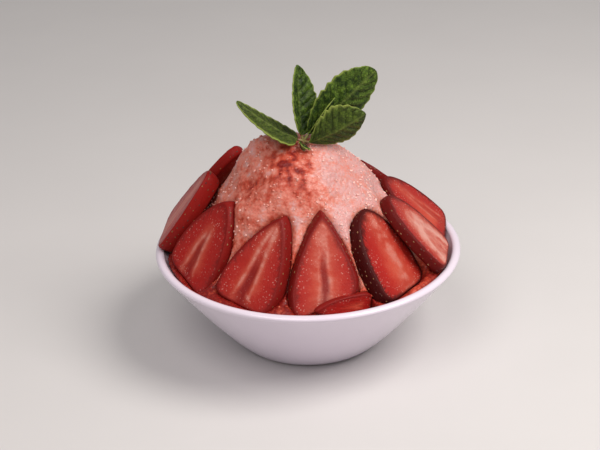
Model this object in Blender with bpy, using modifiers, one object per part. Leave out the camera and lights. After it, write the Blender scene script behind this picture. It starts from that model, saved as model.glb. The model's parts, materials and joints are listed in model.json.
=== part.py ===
"""Strawberry shaved ice in a small white bowl.

A mound of pink shaved ice fills the bowl and heaps well above its rim. Strawberry slices stand in a
ring round the mound with their cap ends on the rim, and a sprig of mint is planted in the top.

Metres, +Z up. The origin is the centre of the bowl's foot, on the surface that the bowl stands on.
The front is -Y: an azimuth of 0 is the front and grows towards +X.
"""

import math
from collections import namedtuple

import bmesh
import bpy
from mathutils import Matrix, Vector, noise

MM = 0.001
GAP = 0.3 * MM  # left between pieces that touch

# Bowl
RIM_RADIUS = 65 * MM
BOWL_HEIGHT = 43 * MM
FOOT_RADIUS = 30 * MM
FOOT_ROUNDING = 1.2 * MM
FOOT_RING_WIDTH = 3 * MM
FOOT_RECESS = 1 * MM
BOWL_WALL = 3 * MM
FLOOR_HEIGHT = 4 * MM
BELLY = 0.88  # power of the wall's curve: 1 is a straight cone, less is a rounder belly
STEPS = 48  # round the bowl and the ice

# Shaved ice
ICE_EDGE_HEIGHT = BOWL_HEIGHT - 2 * MM
MOUND_RISE = 52.5 * MM
MOUND_FLATTEN = 1.75  # higher makes a broader top
MOUND_TAIL = 1.6  # higher makes a longer skirt at the rim
MOUND_SHIFT = Vector((-6 * MM, -2 * MM, 0))  # how far the top is off the middle
LUMP_SIZE = 13 * MM
LUMP_DEPTH = 2.6 * MM
SHOULDERS = (  # heaps beside the sprig: x, y, rise and radius
    (-17 * MM, 0 * MM, 7.5 * MM, 9 * MM),
    (18 * MM, 4 * MM, 5.5 * MM, 13 * MM),
)

# Strawberry slices. A slice is a slab of a berry, between two planes square to `depth`, the distance
# from the berry's axis. The front plane faces outwards.
OUTLINE_POINTS = 26
WIDEST = 0.24  # share of the length, from the cap end, where a berry is widest
CAP_BLUNT = 4.6  # power of the cap end's outline: 2 is an ellipse, more is blunter

Slice = namedtuple(
    "Slice",
    "name azimuth radius height slope lean twist length width front back point cut",
)
SLICES = (
    Slice("front", 6, 51.2, 36.3, 53, 3, 1, 43.2, 30, 7.5, 2.0, 1.0, 21),
    Slice("front_left", -30.5, 52.8, 36.5, 53, 10.5, 0, 42, 29.6, 6.0, 0.5, 0.8, 0),
    Slice("left", -65, 53.4, 37.0, 57, 0, 13, 39, 31, 5.5, 0.5, 0.5, -9),
    Slice("far_left", -98, 62.1, 44.4, 55, 8, 4, 40, 28, 1.5, -5.6, 0.4, 0),
    Slice("front_right", 44.5, 53.5, 37.0, 48, 2, 12, 39.5, 32, 4.5, -2.0, 0.1, 8),
    Slice("right", 74, 58.6, 41.1, 44, 0, 6, 37, 29, 3.5, -1.0, 0.1, 4),
    Slice("far_right", 98.5, 60.2, 42.2, 45, 4, -18, 38, 27, 0.5, -2.5, 0.3, 0),
    Slice("back_right", 133, 57.7, 42.8, 46, 0, 0, 38, 28, 2.0, -2.0, 0.5, 0),
    Slice("back_left", -131, 58.3, 44.1, 55, 9, -4, 45, 28, 2.0, -2.5, 0.4, 0),
    Slice("rear_right", 166, 57, 42, 47, 0, 0, 42, 28, 3.0, -1.5, 0.5, 0),
    Slice("rear_left", -161, 57, 42, 50, 0, 0, 43, 28, 2.5, -1.5, 0.7, 0),
)
LOW_SLICE = Slice("low", 27, 53.7, 39.8, 85, -83, 0, 25.5, 10, 1.5, -1.5, 0.3, 0)
SEAT_CLEARANCE = 10 * MM  # ice kept clear in front of a slice

# Mint. A leaf's upper side is +Y in its own axes, and Z runs from its stalk to its tip.
LEAF_THICKNESS = 0.6 * MM
STALK_HALF_WIDTH = 0.7 * MM
TOOTH_DEPTH = 0.1  # share of the blade's half width
STEM_RADIUS = 1.2 * MM
STEM_PLANTED = 9 * MM
STEM_SHOWING = 2.5 * MM
STEM_LEAN = -5
SPRIG = Vector((-1, -7, 91.5)) * MM  # where the stem leaves the ice

Leaf = namedtuple(
    "Leaf",
    "name root heading climb roll length width fold curl teeth widest blunt",
)
LEAVES = (
    Leaf("upright", (-0.8, 3.0, 3.4), 190, 61, 40, 29, 18, 25, -6, 8, 0.42, 0.62),
    Leaf("tall_right", (2.4, 3.6, 4.0), 106, 38, 98, 37.5, 22.5, -10, 5, 9, 0.55, 0.5),
    Leaf("front_right", (2.5, -1.4, 2.0), 83, 20, 112, 26, 22, -20, 30, 8, 0.56, 0.67),
    Leaf("left", (-2.6, -0.8, 3.1), -97, 24.7, 177, 29.5, 16, 4, 18, 8, 0.28, 0.5),
    Leaf("young", (2.2, 1.0, 4.8), 95, 43, 133, 18.5, 7.3, 8, 24, 5, 0.54, 0.76),
)


def clear_scene():
    for obj in list(bpy.data.objects):
        bpy.data.objects.remove(obj, do_unlink=True)


def new_collection(name):
    collection = bpy.data.collections.new(name)
    bpy.context.scene.collection.children.link(collection)
    return collection


def new_material(name, colour, roughness):
    """colour is linear red, green and blue."""
    made = bpy.data.materials.new(name)
    made.use_nodes = True
    shader = made.node_tree.nodes["Principled BSDF"]
    shader.inputs["Base Color"].default_value = (*colour, 1)
    shader.inputs["Roughness"].default_value = roughness
    shader.inputs["Metallic"].default_value = 0
    made.diffuse_color = (*colour, 1)
    return made


def add_object(name, mesh, collection, finish=None):
    obj = bpy.data.objects.new(name, mesh)
    collection.objects.link(obj)
    if finish:
        mesh.materials.append(finish)
    return obj


def mesh_of(shape, name):
    """Ends a bmesh and returns it as a mesh."""
    mesh = bpy.data.meshes.new(name)
    shape.to_mesh(mesh)
    shape.free()
    return mesh


def shade_round(mesh, crease_deg=40):
    mesh.shade_smooth()
    mesh.set_sharp_from_angle(angle=math.radians(crease_deg))


def turned(name, profile, steps):
    """A mesh of the profile, (radius, height) pairs from the top down its outer side, turned round Z."""
    shape = bmesh.new()
    points = [shape.verts.new((radius, 0, height)) for radius, height in profile]
    for above, below in zip(points, points[1:]):
        shape.edges.new((above, below))
    helper = bpy.data.objects.new(name, mesh_of(shape, name))
    bpy.context.scene.collection.objects.link(helper)
    screw = helper.modifiers.new("turn", "SCREW")
    screw.steps = screw.render_steps = steps
    screw.use_merge_vertices = True
    screw.merge_threshold = 0.01 * MM
    mesh = bpy.data.meshes.new_from_object(
        helper.evaluated_get(bpy.context.evaluated_depsgraph_get())
    )
    bpy.data.objects.remove(helper)
    mesh.name = name
    return mesh


# ---- Bowl ----


def wall_outside(height):
    """The radius of the bowl's outer side, which is greatest at the middle of the rounded rim."""
    share = height / (BOWL_HEIGHT - BOWL_WALL / 2)
    return FOOT_RADIUS + (RIM_RADIUS - FOOT_RADIUS) * share**BELLY


def wall_inside(height):
    """The radius of the bowl's inner side, one wall's thickness in, square to the wall."""
    step = 0.1 * MM
    flare = (wall_outside(height + step) - wall_outside(height)) / step
    return wall_outside(height) - BOWL_WALL * math.hypot(1, flare)


def spread(start, end, count):
    return [start + (end - start) * i / (count - 1) for i in range(count)]


def bowl_profile():
    rim_centre_height = BOWL_HEIGHT - BOWL_WALL / 2
    inner, outer = wall_inside(rim_centre_height), wall_outside(rim_centre_height)
    rim_centre, rim_reach = (inner + outer) / 2, (outer - inner) / 2
    points = [(0, FLOOR_HEIGHT)]
    points += [
        (wall_inside(z), z) for z in spread(FLOOR_HEIGHT, rim_centre_height, 7)
    ]
    for angle in spread(math.pi, 0, 6)[1:-1]:
        points.append(
            (
                rim_centre + rim_reach * math.cos(angle),
                rim_centre_height + BOWL_WALL / 2 * math.sin(angle),
            )
        )
    for z in spread(rim_centre_height, FOOT_ROUNDING, 7):
        points.append((wall_outside(z), z))
    foot = FOOT_RADIUS - FOOT_ROUNDING / 2
    points.append((foot, 0))
    ring_inside = foot - FOOT_RING_WIDTH
    points += [
        (ring_inside, 0),
        (ring_inside - FOOT_RECESS, FOOT_RECESS),
        (0, FOOT_RECESS),
    ]
    return points


def make_bowl(parts, finish):
    mesh = turned("bowl", bowl_profile(), STEPS)
    shade_round(mesh)
    return add_object("bowl", mesh, parts, finish)


# ---- Shaved ice ----


def mound_height(radius, edge):
    """The height of the even mound at this radius."""
    share = min(radius / edge, 1)
    return ICE_EDGE_HEIGHT + MOUND_RISE * (1 - share**MOUND_FLATTEN) ** MOUND_TAIL


def ice_profile():
    edge = wall_inside(ICE_EDGE_HEIGHT) - GAP
    points = [(edge * share, mound_height(edge * share, edge)) for share in spread(0, 1, 14)]
    floor = FLOOR_HEIGHT + GAP
    points += [(wall_inside(z) - GAP, z) for z in spread(ICE_EDGE_HEIGHT, floor, 6)[1:]]
    points.append((0, floor))
    return points


def roughen(mesh):
    """Heaps the mound unevenly. The part inside the bowl keeps its shape."""
    for vertex in mesh.vertices:
        place = vertex.co.copy()
        above = max(0, min(1, (place.z - ICE_EDGE_HEIGHT) / (8 * MM)))
        outwards = Vector((place.x, place.y, 0.6 * place.xy.length + 12 * MM)).normalized()
        lump = noise.noise(place / LUMP_SIZE) * LUMP_DEPTH
        vertex.co += outwards * lump * above
        vertex.co += MOUND_SHIFT * max(0, place.z - ICE_EDGE_HEIGHT) / MOUND_RISE
        for x, y, rise, radius in SHOULDERS:
            near = (place.xy - Vector((x, y))).length / radius
            vertex.co.z += rise * math.exp(-near * near) * above


def make_ice(parts, finish, cutters):
    mesh = turned("shaved_ice", ice_profile(), STEPS)
    roughen(mesh)
    obj = add_object("shaved_ice", mesh, parts, finish)
    for cutter in cutters:
        cut_with(obj, cutter)
    return obj


# ---- Strawberry slices ----


def berry_half_width(share, point):
    """Half a berry's width, as a share of its greatest, at this share of the length from the cap end.

    point is 0 for an oval berry and 1 for one that tapers almost straight to its tip.
    """
    if share < WIDEST:
        return (1 - (1 - share / WIDEST) ** CAP_BLUNT) ** (1 / CAP_BLUNT)
    along = (share - WIDEST) / (1 - WIDEST)
    return (1 - along ** (2 - 0.7 * point)) ** (0.5 + 0.3 * point)


def slice_point(slice_, turn, depth, grow=0):
    """A point of the berry's outline cut at this depth, in the slice's own axes.

    turn is an angle round the outline, from the cap end, and grow widens the outline.
    """
    half, length = slice_.width * MM / 2, slice_.length * MM
    share = (1 - math.cos(turn)) / 2
    reach = Vector((half * berry_half_width(share, slice_.point), 0, (share - WIDEST) * length))
    reach.x = math.copysign(reach.x, math.sin(turn))
    reach.z += reach.x * math.tan(math.radians(slice_.cut)) * (1 - share) ** 2
    reach *= math.sqrt(max(0.02, 1 - (depth / half) ** 2))
    reach += reach.normalized() * grow
    return Vector((reach.x, -depth, reach.z + WIDEST * length))


def slice_place(slice_):
    """From the slice's own axes (X width, -Y outwards, Z from cap to tip) to the dessert's."""
    base = Vector((0, -slice_.radius * MM, slice_.height * MM))
    return (
        Matrix.Rotation(math.radians(slice_.azimuth), 4, "Z")
        @ Matrix.Translation(base)
        @ Matrix.Rotation(math.radians(slice_.slope - 90), 4, "X")
        @ Matrix.Rotation(math.radians(slice_.lean), 4, "Y")
        @ Matrix.Rotation(math.radians(slice_.twist), 4, "Z")
    )


def slice_mesh(slice_, name, grow=0, clearance=0):
    """A round prism with a middle row of vertices, moulded to the berry between its two planes.

    grow widens it all round and clearance draws its front out straight, both to shape a seat.
    """
    back, front = slice_.back * MM - grow, slice_.front * MM + grow
    shape = bmesh.new()
    bmesh.ops.create_cone(
        shape, cap_ends=True, segments=OUTLINE_POINTS, radius1=1, radius2=1, depth=1
    )
    every = shape.verts[:] + shape.edges[:] + shape.faces[:]
    bmesh.ops.bisect_plane(shape, geom=every, plane_co=(0, 0, 0), plane_no=(0, 0, 1))
    for vertex in shape.verts:
        turn = math.atan2(vertex.co.y, vertex.co.x) % (2 * math.pi)
        depth = back + (front - back) * (vertex.co.z + 0.5)
        vertex.co = slice_point(slice_, turn, depth, grow)
    if shape.calc_volume(signed=True) < 0:
        bmesh.ops.reverse_faces(shape, faces=shape.faces)
    if clearance:
        face = min(shape.faces, key=lambda item: item.calc_center_median().y)
        drawn = bmesh.ops.extrude_discrete_faces(shape, faces=[face])["faces"][0]
        bmesh.ops.translate(shape, verts=drawn.verts, vec=(0, -clearance, 0))
    return mesh_of(shape, name)


def add_slice(slice_, parts, guides, finish):
    """Adds a slice and the slightly larger shape that presses its seat, and returns both."""
    name = "strawberry_" + slice_.name
    obj = add_object(name, slice_mesh(slice_, name), parts, finish)
    obj.matrix_world = slice_place(slice_)
    room = slice_mesh(slice_, name + "_seat", GAP, SEAT_CLEARANCE)
    seat = add_object("seat_" + slice_.name, room, guides)
    seat.matrix_world = slice_place(slice_)
    return obj, seat


def cut_with(obj, cutter):
    cut = obj.modifiers.new(cutter.name, "BOOLEAN")
    cut.operation = "DIFFERENCE"
    cut.object = cutter


def make_slices(parts, guides, finish):
    """Adds the slices and returns the shapes of their seats in the ice."""
    made = {slice_.name: add_slice(slice_, parts, guides, finish) for slice_ in SLICES}
    low, low_seat = add_slice(LOW_SLICE, parts, guides, finish)
    for pressed, against in (
        (low, "front"),
        (low, "front_right"),
        (made["far_right"][0], "right"),
    ):
        cut_with(pressed, made[against][1])
    return [low_seat] + [seat for _, seat in made.values()]


# ---- Mint ----


def leaf_half_width(share, leaf):
    """Half the blade's width at this share of its length, with teeth along the margin."""
    if not 0 < share < 1:
        return STALK_HALF_WIDTH
    stretch = math.log(0.5) / math.log(leaf.widest)
    blade = math.sin(math.pi * share**stretch) ** leaf.blunt
    valley = abs((share * leaf.teeth) % 1 - 0.5) * 2
    half = leaf.width * MM / 2 * blade * (1 - TOOTH_DEPTH * valley)
    return max(half, STALK_HALF_WIDTH)


def leaf_point(leaf, across, share):
    """A point on the blade, folded along its midrib and arched along its length."""
    half = leaf_half_width(share, leaf)
    fold, curl = math.radians(leaf.fold), math.radians(leaf.curl)
    bend = curl * share
    reach = leaf.length * MM / curl
    lift = abs(across) * half * math.sin(fold)
    return Vector(
        (
            across * half * math.cos(fold),
            reach * (math.cos(bend) - 1) + lift * math.cos(bend),
            reach * math.sin(bend) + lift * math.sin(bend),
        )
    )


def leaf_place(leaf):
    return (
        Matrix.Translation(SPRIG + Vector(leaf.root) * MM)
        @ Matrix.Rotation(math.radians(leaf.heading), 4, "Z")
        @ Matrix.Rotation(math.radians(90 - leaf.climb), 4, "X")
        @ Matrix.Rotation(math.radians(leaf.roll), 4, "Z")
    )


def leaf_mesh(leaf, name):
    shape = bmesh.new()
    bmesh.ops.create_grid(shape, x_segments=4, y_segments=2 * leaf.teeth, size=1)
    for vertex in shape.verts:
        vertex.co = leaf_point(leaf, vertex.co.x, (vertex.co.y + 1) / 2)
    return mesh_of(shape, name)


def make_mint(parts, finish):
    for leaf in LEAVES:
        name = "mint_leaf_" + leaf.name
        obj = add_object(name, leaf_mesh(leaf, name), parts, finish)
        obj.matrix_world = leaf_place(leaf)
        blade = obj.modifiers.new("blade", "SOLIDIFY")
        blade.thickness = LEAF_THICKNESS
        blade.offset = 0


def stem_mesh(name, grow=0):
    """A cut stalk from its planted end up to just above the ice."""
    shape = bmesh.new()
    length = STEM_PLANTED + STEM_SHOWING + 2 * grow
    radius = STEM_RADIUS + grow
    middle = Matrix.Translation((0, 0, length / 2 - STEM_PLANTED - grow))
    bmesh.ops.create_cone(
        shape, cap_ends=True, segments=12, radius1=radius, radius2=radius, depth=length, matrix=middle
    )
    return mesh_of(shape, name)


def make_stem(parts, guides, finish):
    """Adds the stem and returns the shape of its hole in the ice."""
    lean = Matrix.Rotation(math.radians(STEM_LEAN), 4, "X")
    obj = add_object("mint_stem", stem_mesh("mint_stem"), parts, finish)
    hole = add_object("stem_hole", stem_mesh("stem_hole", GAP), guides)
    obj.matrix_world = hole.matrix_world = Matrix.Translation(SPRIG) @ lean
    return hole


def main():
    clear_scene()
    parts = new_collection("strawberry_shaved_ice")
    guides = new_collection("cutters")
    porcelain = new_material("white_glazed_porcelain", (0.80, 0.76, 0.78), 0.25)
    ice = new_material("strawberry_shaved_ice", (0.75, 0.27, 0.21), 0.6)
    berry = new_material("strawberry", (0.50, 0.04, 0.03), 0.3)
    mint = new_material("mint", (0.06, 0.11, 0.02), 0.5)
    make_bowl(parts, porcelain)
    seats = make_slices(parts, guides, berry)
    hole = make_stem(parts, guides, mint)
    make_ice(parts, ice, [*seats, hole])
    make_mint(parts, mint)
    for guide in guides.objects:
        guide.hide_render = True
        guide.display_type = "WIRE"


if __name__ == "__main__":
    main()
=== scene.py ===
"""Strawberry shaved ice in a small white bowl: the finish of every piece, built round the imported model.

Metres, +Z up. The origin is the centre of the bowl's foot. The front is -Y: an azimuth of 0 is the
front and grows towards +X.
"""

import json
import math
import random
from collections import namedtuple

import bmesh
import bpy
import numpy as np
from bpy.props import FloatProperty, FloatVectorProperty, IntProperty, PointerProperty
from mathutils import Matrix, Vector, noise
from mathutils.bvhtree import BVHTree

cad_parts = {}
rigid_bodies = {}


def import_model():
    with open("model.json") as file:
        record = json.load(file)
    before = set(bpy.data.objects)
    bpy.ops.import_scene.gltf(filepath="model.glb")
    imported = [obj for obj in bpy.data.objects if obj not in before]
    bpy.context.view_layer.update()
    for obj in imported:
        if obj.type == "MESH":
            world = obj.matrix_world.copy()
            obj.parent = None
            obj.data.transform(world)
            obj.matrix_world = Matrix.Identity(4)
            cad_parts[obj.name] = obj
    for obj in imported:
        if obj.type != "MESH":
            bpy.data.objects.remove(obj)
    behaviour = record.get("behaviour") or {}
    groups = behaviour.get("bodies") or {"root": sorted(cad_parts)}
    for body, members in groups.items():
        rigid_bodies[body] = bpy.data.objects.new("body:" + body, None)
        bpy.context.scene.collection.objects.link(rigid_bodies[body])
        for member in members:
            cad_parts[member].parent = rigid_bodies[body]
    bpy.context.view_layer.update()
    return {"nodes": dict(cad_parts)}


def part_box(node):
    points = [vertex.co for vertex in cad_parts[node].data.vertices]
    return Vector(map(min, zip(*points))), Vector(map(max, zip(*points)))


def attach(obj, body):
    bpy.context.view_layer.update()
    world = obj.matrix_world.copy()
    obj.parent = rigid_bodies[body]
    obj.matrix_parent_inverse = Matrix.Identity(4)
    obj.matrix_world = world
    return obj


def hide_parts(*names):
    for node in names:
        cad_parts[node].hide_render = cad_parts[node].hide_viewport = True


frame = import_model()

bl_info = {
    "name": "Strawberry shaved ice",
    "version": (1, 0, 0),
    "blender": (4, 5, 0),
    "location": "3D View > Sidebar > Dessert",
    "description": "Models a bowl of shaved ice with strawberry slices and a sprig of mint",
    "category": "Add Mesh",
}

MM = 0.001
BODY = "root"

RIM_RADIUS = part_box("bowl")[1].x
BOWL_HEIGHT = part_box("bowl")[1].z
ICE_EDGE_HEIGHT = BOWL_HEIGHT - 2 * MM

# A slice is a slab of a berry, between two planes square to the distance from the berry's axis.
WIDEST = 0.24  # share of the length, from the cap end, where a berry is widest
CAP_BLUNT = 4.6  # power of the cap end's outline: 2 is an ellipse, more is blunter
Slice = namedtuple(
    "Slice",
    "name azimuth radius height slope lean twist length width front back point cut",
)
SLICES = (
    Slice("front", 6, 51.2, 36.3, 53, 3, 1, 43.2, 30, 7.5, 2.0, 1.0, 21),
    Slice("front_left", -30.5, 52.8, 36.5, 53, 10.5, 0, 42, 29.6, 6.0, 0.5, 0.8, 0),
    Slice("left", -65, 53.4, 37.0, 57, 0, 13, 39, 31, 5.5, 0.5, 0.5, -9),
    Slice("far_left", -98, 62.1, 44.4, 55, 8, 4, 40, 28, 1.5, -5.6, 0.4, 0),
    Slice("front_right", 44.5, 53.5, 37.0, 48, 2, 12, 39.5, 32, 4.5, -2.0, 0.1, 8),
    Slice("right", 74, 58.6, 41.1, 44, 0, 6, 37, 29, 3.5, -1.0, 0.1, 4),
    Slice("far_right", 98.5, 60.2, 42.2, 45, 4, -18, 38, 27, 0.5, -2.5, 0.3, 0),
    Slice("back_right", 133, 57.7, 42.8, 46, 0, 0, 38, 28, 2.0, -2.0, 0.5, 0),
    Slice("back_left", -131, 58.3, 44.1, 55, 9, -4, 45, 28, 2.0, -2.5, 0.4, 0),
    Slice("rear_right", 166, 57, 42, 47, 0, 0, 42, 28, 3.0, -1.5, 0.5, 0),
    Slice("rear_left", -161, 57, 42, 50, 0, 0, 43, 28, 2.5, -1.5, 0.7, 0),
    Slice("low", 27, 53.7, 39.8, 85, -83, 0, 25.5, 10, 1.5, -1.5, 0.3, 0),
)
TRIMMED = {"low": ("front", "front_right"), "far_right": ("right",)}  # slice: those that press on it
SEEDLESS = ("low",)  # cut from inside a berry

# What a slice's cut face shows. width is the core's half width at the cap end and shift how far it is
# off the middle, both as a share of the slice's half width; top is where the core ends, as a share of
# the length. pale is how white its strands are, heart how dark the flesh between them is and haze how
# pale the flesh round them is. A loop is a core that closes to a ring instead of running to the tip.
# ripe is how dark the skin is, and the last field how thickly pale glints are painted into the colour
# near the tip, as painted highlights.
Core = namedtuple("Core", "width top shift pale heart haze loop ripe wet")
CORES = {
    "front": Core(0.2, 0.95, 0.0, 0.5, 0.9, 0.85, False, 0.4, 0.5),
    "front_left": Core(0.27, 0.98, -0.04, 0.55, 0.95, 0.35, False, 0.35, 1.0),
    "left": Core(0.26, 0.68, -0.06, 0.5, 0.8, 0.0, False, 0.3, 0.1),
    "far_left": Core(0.30, 0.80, 0.0, 0.5, 0.2, 0.8, False, 0.0, 0.5),
    "front_right": Core(0.03, 1.2, 0.16, 0.4, 0.0, 0.75, False, 0.9, 0.1),
    "right": Core(0.5, 0.46, 0.1, 1.0, 0.0, 0.8, True, 0.65, 0.1),
    "far_right": Core(0.22, 0.85, 0.3, 0.4, 0.3, 0.25, False, 0.65, 0.3),
    "back_right": Core(0.4, 0.46, 0.0, 0.9, 0.0, 0.4, True, 0.5, 0.3),
    "back_left": Core(0.30, 0.78, 0.05, 0.7, 0.8, 0.4, False, 0.05, 0.5),
    "rear_right": Core(0.22, 0.88, -0.05, 0.7, 0.7, 0.6, False, 0.45, 0.2),
    "rear_left": Core(0.30, 0.70, 0.0, 0.85, 0.5, 0.3, False, 0.35, 0.4),
    "low": Core(0.02, 0.60, 0.0, 0.0, 0.0, 0.0, False, 0.3, 0.1),
}

# Mint. A leaf's upper side is +Y in its own axes, and Z runs from its stalk to its tip.
SPRIG = Vector((-1, -7, 91.5)) * MM  # where the stem leaves the ice
Leaf = namedtuple(
    "Leaf",
    "name root heading climb roll length width fold curl teeth widest blunt",
)
LEAVES = (
    Leaf("upright", (-0.8, 3.0, 3.4), 190, 61, 40, 29, 18, 25, -6, 8, 0.42, 0.62),
    Leaf("tall_right", (2.4, 3.6, 4.0), 106, 38, 98, 37.5, 22.5, -10, 5, 9, 0.55, 0.5),
    Leaf("front_right", (2.5, -1.4, 2.0), 83, 20, 112, 26, 22, -20, 30, 8, 0.56, 0.67),
    Leaf("left", (-2.6, -0.8, 3.1), -97, 24.7, 177, 29.5, 16, 4, 18, 8, 0.28, 0.5),
    Leaf("young", (2.2, 1.0, 4.8), 95, 43, 133, 18.5, 7.3, 8, 24, 5, 0.54, 0.76),
)

OLIVE = {"left": 0.6, "front_right": 0.4}  # how far a leaf has yellowed

# Syrup that has run into the ice, and a painted shadow: x, y, z, radius and strength. The one at (-9,
# -12, 88) is the painted shadow of the left mint leaf.
STAINS_AND_LEAF_SHADOW = (
    (-9, -19, 84, 10, 0.34),
    # Painted shadow of the left mint leaf on the ice.
    (-9, -12, 88, 7, 0.5),
    (-5, -17, 86, 6, 0.22),
    (-1, -24, 79, 8, 0.34),
    (2, -13, 88, 4, 0.3),
    (-24, -18, 76, 8, 0.34),
    (-27, -27, 69, 2.5, 0.5),
    (-12, -31, 70, 5, 0.2),
    (-9, -40, 54, 7, 0.35),
    (-10, -46, 46, 8, 0.6),
    (-28, -33, 58, 8, 0.2),
    (17, -33, 58, 4, 0.3),
    (20, -37, 52, 5, 0.5),
    (20, 24, 78, 10, 0.3),
    (-24, 20, 72, 9, 0.3),
)


# ---- Colours and nodes ----


def linear(code):
    """A colour given as an sRGB hex code, turned to linear red, green, blue and alpha."""
    parts = [int(code[i : i + 2], 16) / 255 for i in (1, 3, 5)]
    turned = [p / 12.92 if p <= 0.04045 else ((p + 0.055) / 1.055) ** 2.4 for p in parts]
    return (*turned, 1.0)


def new_material(name):
    """A material with its node tree and its Principled shader."""
    material = bpy.data.materials.new(name)
    material.use_nodes = True
    return material, material.node_tree, material.node_tree.nodes["Principled BSDF"]


def add_node(tree, kind, settings=None, links=None):
    """Adds a node. settings are its properties or its sockets' values, links its sockets' sources."""
    node = tree.nodes.new(kind)
    for key, value in (settings or {}).items():
        if isinstance(key, str) and hasattr(node, key):
            setattr(node, key, value)
        else:
            node.inputs[key].default_value = value
    for key, source in (links or {}).items():
        tree.links.new(source, node.inputs[key])
    return node


def set_ramp(node, stops):
    """Gives a Color Ramp its stops, (position, colour) pairs."""
    ramp = node.color_ramp
    while len(ramp.elements) < len(stops):
        ramp.elements.new(1)
    for element, (position, colour) in zip(ramp.elements, stops):
        element.position = position
        element.color = colour
    return node.outputs["Color"]


MIX_A, MIX_B, MIX_RESULT = 6, 7, 2  # the colour sockets of a Mix node


# ---- Modelling ----


def start_fresh():
    """Leaves nothing selected, so that the next operators act on the new piece alone."""
    if bpy.context.object and bpy.context.object.mode != "OBJECT":
        bpy.ops.object.mode_set(mode="OBJECT")
    bpy.ops.object.select_all(action="DESELECT")


def work_on(obj):
    start_fresh()
    obj.select_set(True)
    bpy.context.view_layer.objects.active = obj


def name_piece(name):
    obj = bpy.context.object
    obj.name = obj.data.name = name
    return obj


def apply_modifier(obj, kind, **settings):
    modifier = obj.modifiers.new(kind.lower(), kind)
    for key, value in settings.items():
        setattr(modifier, key, value)
    work_on(obj)
    bpy.ops.object.modifier_apply(modifier=modifier.name)


def apply_place(obj):
    work_on(obj)
    bpy.ops.object.transform_apply(location=True, rotation=True, scale=True)


def face_out(obj):
    """Turns every face of a closed piece outwards."""
    work_on(obj)
    bpy.ops.object.mode_set(mode="EDIT")
    bpy.ops.mesh.select_all(action="SELECT")
    bpy.ops.mesh.normals_make_consistent(inside=False)
    bpy.ops.object.mode_set(mode="OBJECT")


def select_faces(obj, wanted):
    """In edit mode, selects the faces for which wanted(face) is true, and no other."""
    shape = bmesh.from_edit_mesh(obj.data)
    for face in shape.faces:
        face.select_set(False)
    for face in shape.faces:
        if wanted(face):
            face.select_set(True)
    bmesh.update_edit_mesh(obj.data)


def shade_smooth(obj, crease_deg=180):
    work_on(obj)
    bpy.ops.object.shade_smooth_by_angle(angle=math.radians(crease_deg))


def places_of(mesh):
    """The vertices' places as an array of rows."""
    places = np.zeros(len(mesh.vertices) * 3)
    mesh.vertices.foreach_get("co", places)
    return places.reshape(-1, 3)


def put_places(mesh, places):
    mesh.vertices.foreach_set("co", np.asarray(places, dtype=np.float32).ravel())
    mesh.update()


def write_attribute(mesh, name, values):
    """Stores one number for each vertex."""
    attribute = mesh.attributes.new(name, "FLOAT", "POINT")
    attribute.data.foreach_set("value", np.asarray(values, dtype=np.float32))


def write_vectors(mesh, name, values):
    attribute = mesh.attributes.new(name, "FLOAT_VECTOR", "POINT")
    attribute.data.foreach_set("vector", np.asarray(values, dtype=np.float32).ravel())


def joined_copies(name, template, matrices):
    """One mesh object with a copy of the template mesh at each matrix."""
    points = places_of(template)
    faces = [list(face.vertices) for face in template.polygons]
    points = np.hstack([points, np.ones((len(points), 1))])
    placed = [points @ np.array(matrix).T[:, :3] for matrix in matrices]
    size = len(points)
    joined = [[v + i * size for v in face] for i in range(len(matrices)) for face in faces]
    mesh = bpy.data.meshes.new(name)
    mesh.from_pydata(np.vstack(placed).tolist(), [], joined)
    obj = bpy.data.objects.new(name, mesh)
    bpy.context.scene.collection.objects.link(obj)
    return obj


def finish_piece(obj, material, slot, *nodes):
    """Gives a piece its material and ties it to the frame, in place of the nodes named."""
    obj.data.materials.clear()
    obj.data.materials.append(material)
    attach(obj, BODY)
    if nodes:
        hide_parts(*nodes)
    return obj


def spread(start, end, count):
    return [start + (end - start) * i / (count - 1) for i in range(count)]


# ---- Bowl ----


class BowlSettings(bpy.types.PropertyGroup):
    foot_radius: FloatProperty(
        name="Foot radius", description="Radius of the foot", default=30 * MM, unit="LENGTH"
    )
    wall: FloatProperty(
        name="Wall", description="Thickness of the wall", default=3 * MM, unit="LENGTH"
    )
    belly: FloatProperty(
        name="Belly", description="Power of the wall's curve: less is rounder", default=0.88
    )
    sides: IntProperty(name="Sides", description="Faces round the bowl", default=144, min=24)
    glaze: FloatVectorProperty(
        name="Glaze", description="Colour of the glaze", subtype="COLOR", size=4,
        default=linear("#e3d8e6"),
    )
    biscuit: FloatVectorProperty(
        name="Bare foot", description="Colour of the unglazed foot ring", subtype="COLOR", size=4,
        default=linear("#d9cfc4"),
    )


def wall_outside(bowl, height):
    """The radius of the bowl's outer side, greatest at the middle of the rounded rim."""
    share = max(height, 0) / (BOWL_HEIGHT - bowl.wall / 2)
    return bowl.foot_radius + (RIM_RADIUS - bowl.foot_radius) * share**bowl.belly


def wall_inside(bowl, height):
    step = 0.1 * MM
    flare = (wall_outside(bowl, height + step) - wall_outside(bowl, height)) / step
    return wall_outside(bowl, height) - bowl.wall * math.hypot(1, flare)


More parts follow.
